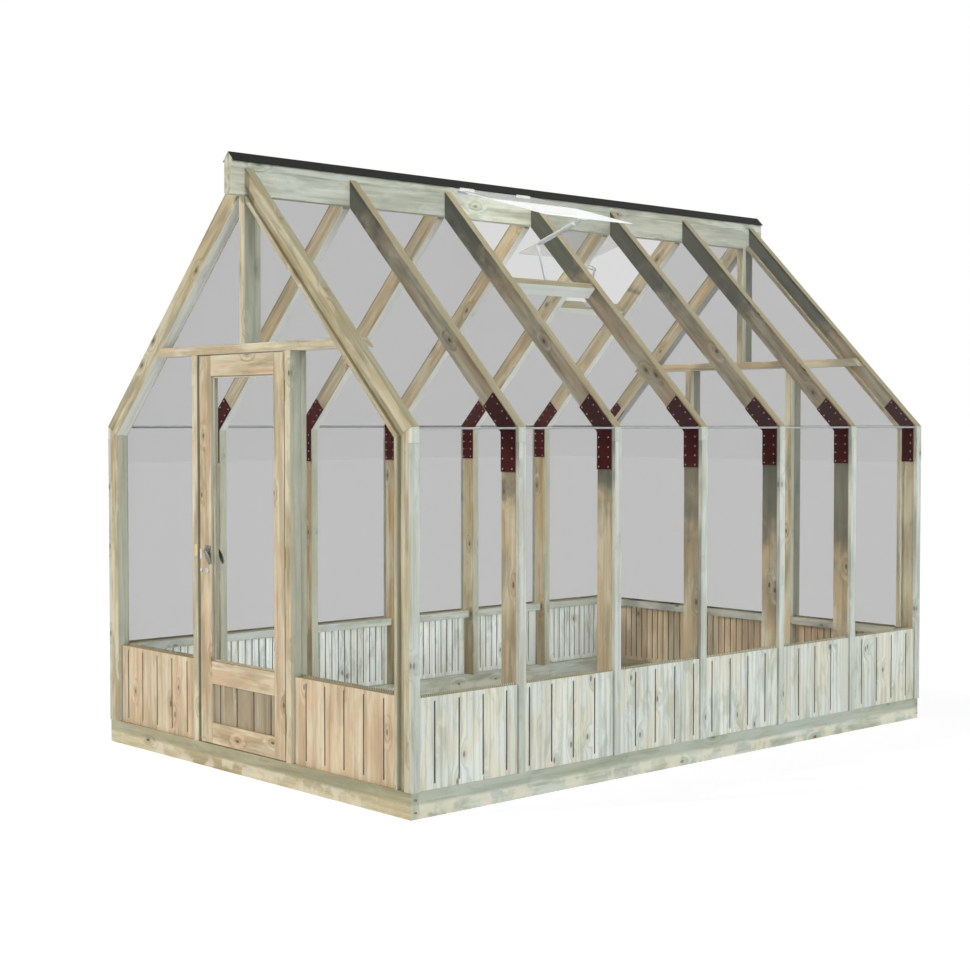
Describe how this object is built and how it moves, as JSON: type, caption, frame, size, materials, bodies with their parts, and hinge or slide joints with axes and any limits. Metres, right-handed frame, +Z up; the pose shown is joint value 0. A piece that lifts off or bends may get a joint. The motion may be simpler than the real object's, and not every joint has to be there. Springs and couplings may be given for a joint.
{
  "type": "greenhouse",
  "caption": "Timber-framed glass greenhouse with a steep saddle roof, board-clad base, open roof vents on both slopes and a hinged half-glazed door in the gable.",
  "frame": {"origin": "centre of the footprint, on the ground", "axes": "+Z up, the ridge runs along Y, the door gable faces -Y"},
  "size_m": [2.59, 4.075, 3.0695],
  "materials": {
    "timber": "pressure-treated softwood, planed, matte",
    "pale_timber": "planed softwood, weathered pale",
    "glass": "clear horticultural glass, 4 mm",
    "gusset_plate": "dark brown coated plate, matte",
    "cap_sheet": "folded sheet, painted near black",
    "bright_metal": "bright, lightly brushed"
  },
  "bodies": {
    "building": {"base_ends": "timber", "base_sides": "timber", "front_left_post": "timber", "front_right_post": "timber", "back_posts": "timber", "left_posts": "timber", "right_posts": "timber", "left_cover_strips": "timber", "right_cover_strips": "timber", "eave_blocks": "pale_timber", "front_left_rafter": "timber", "front_right_rafter": "timber", "left_rafters": "timber", "right_rafters": "timber", "left_gussets": "gusset_plate", "right_gussets": "gusset_plate", "ridge_beam": "timber", "ridge_cap": "cap_sheet", "transoms": "timber", "king_posts": "timber", "door_posts": "timber", "door_stops": "timber", "back_studs": "timber", "left_wall_boards": "timber", "right_wall_boards": "timber", "front_boards": "timber", "back_boards": "timber", "sill_rails": "timber", "glazing_stops": "timber", "left_wall_glass": "glass", "right_wall_glass": "glass", "left_roof_glass": "glass", "right_roof_glass": "glass", "gable_glass": "glass", "vent_panes": "glass", "vent_trimmers": "timber", "vent_openers": "bright_metal", "vent_hinges": "bright_metal", "doorway_fittings": "bright_metal"},
    "door": {"door_stiles": "timber", "door_rails": "timber", "door_glass": "glass", "door_boards": "timber", "door_handles": "bright_metal", "door_hinges": "bright_metal"}
  },
  "joints": [
    {"name": "door_hinge", "type": "hinge", "parent": "building", "child": "door", "pos_m": [0.348, -1.9635, 0], "axis": [0, 0, 1], "range_deg": [0, 100]}
  ]
}
